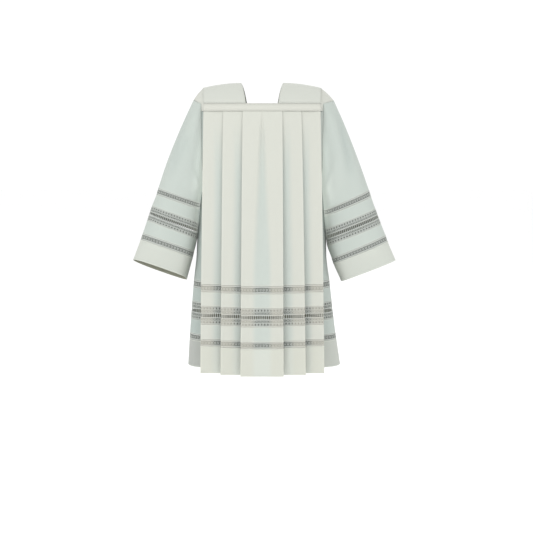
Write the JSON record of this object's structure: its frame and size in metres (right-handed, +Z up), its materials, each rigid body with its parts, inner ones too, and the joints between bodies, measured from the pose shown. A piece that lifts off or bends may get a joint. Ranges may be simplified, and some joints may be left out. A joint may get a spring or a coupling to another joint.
{
  "type": "cotta",
  "caption": "Square-necked pleated cotta with wide sleeves, lace insertions and a ladder row in the widest lace, hollow and open as worn.",
  "frame": {"origin": "on the centre plane, at the height of the shoulder edges of the yoke, where the wearer's shoulders carry the garment", "axes": "+Z up along the worn garment, +X to the wearer's left, which is the right of the picture, and the wearer faces -Y"},
  "size_m": [0.9526, 0.3634, 1.0239],
  "materials": {
    "cloth": "plain weave, matt",
    "lace": "openwork lace insertion, matt",
    "hem": "plain weave turned double, matt",
    "yoke": "plain weave, double, top stitched"
  },
  "bodies": {
    "root": {"yoke_band_front": "yoke", "body_front": "cloth", "lace_upper_front": "lace", "strip_upper_front": "cloth", "lace_ladder_front": "lace", "strip_lower_front": "cloth", "lace_lower_front": "lace", "hem_front": "hem", "yoke_band_back": "yoke", "body_back": "cloth", "lace_upper_back": "lace", "strip_upper_back": "cloth", "lace_ladder_back": "lace", "strip_lower_back": "cloth", "lace_lower_back": "lace", "hem_back": "hem", "shoulder_right": "yoke", "shoulder_cap_right": "yoke", "sleeve_right": "cloth", "sleeve_lace_upper_right": "lace", "sleeve_strip_upper_right": "cloth", "sleeve_strip_lower_right": "cloth", "sleeve_lace_lower_right": "lace", "cuff_right": "hem", "sleeve_lace_ladder_right_front": "lace", "sleeve_lace_ladder_right_back": "lace", "shoulder_left": "yoke", "shoulder_cap_left": "yoke", "sleeve_left": "cloth", "sleeve_lace_upper_left": "lace", "sleeve_strip_upper_left": "cloth", "sleeve_strip_lower_left": "cloth", "sleeve_lace_lower_left": "lace", "cuff_left": "hem", "sleeve_lace_ladder_left_front": "lace", "sleeve_lace_ladder_left_back": "lace"}
  },
  "joints": []
}
